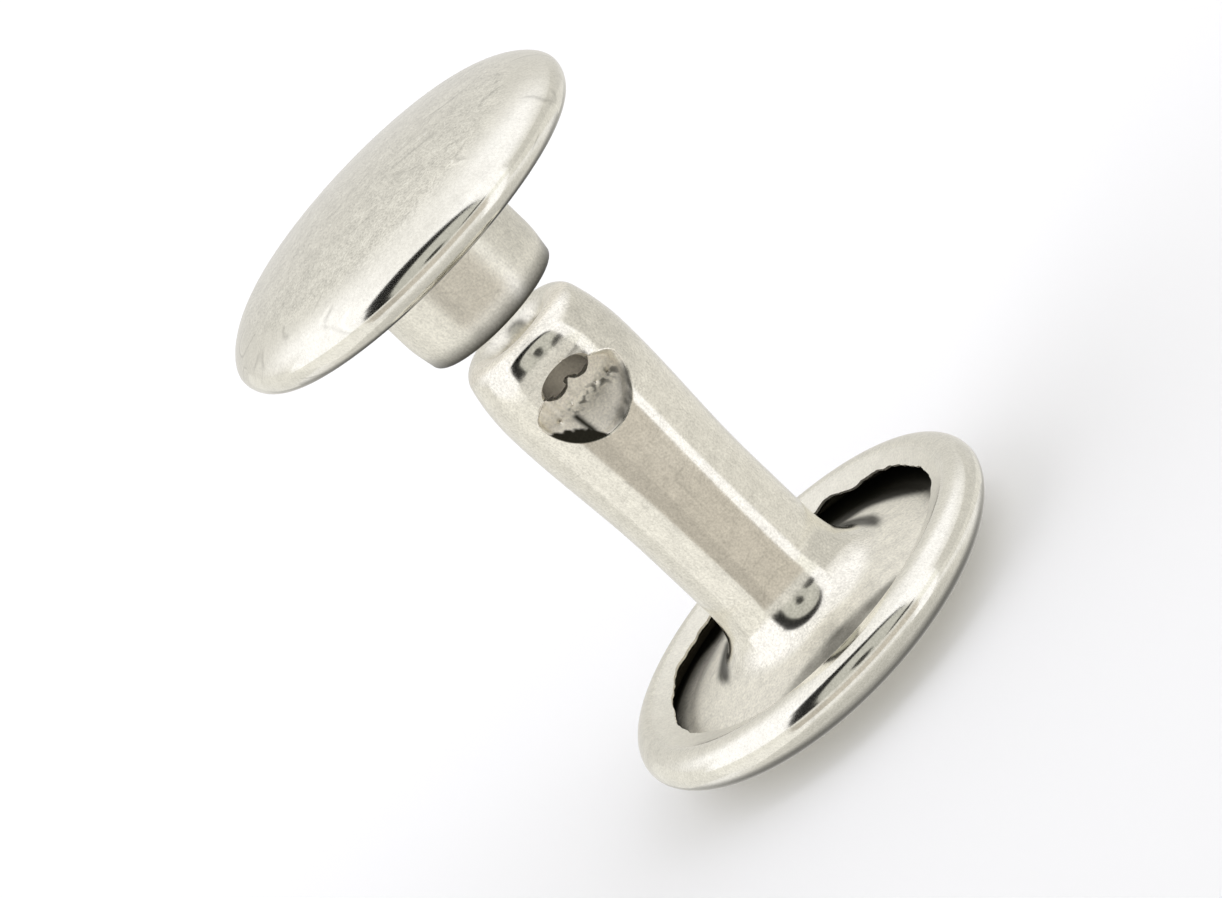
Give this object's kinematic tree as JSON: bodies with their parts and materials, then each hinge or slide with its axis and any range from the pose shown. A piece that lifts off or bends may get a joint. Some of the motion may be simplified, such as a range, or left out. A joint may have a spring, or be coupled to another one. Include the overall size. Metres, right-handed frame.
{
  "type": "double-cap leather rivet",
  "caption": "Round-headed two-part leather rivet: a hollow drawn post on a rolled-rim base, with a loose domed cap half whose short socket sits over the post's tip.",
  "frame": {"origin": "middle of the flat in the underside of the base shell, on the surface the rivet stands on", "axes": "+Z along the post towards the cap, -Y towards the side with the pressed notch, +X to the right seen from the notch side"},
  "size_m": [0.0094, 0.0094, 0.0144],
  "materials": {
    "bright_nickel": "bright nickel plate over sheet metal, lightly scuffed",
    "drawn_nickel": "nickel plate over drawn sheet, slightly grainy"
  },
  "bodies": {
    "root": {"base_shell": "bright_nickel", "post": "drawn_nickel", "cap_socket": "drawn_nickel", "cap_shell": "bright_nickel"}
  },
  "joints": []
}
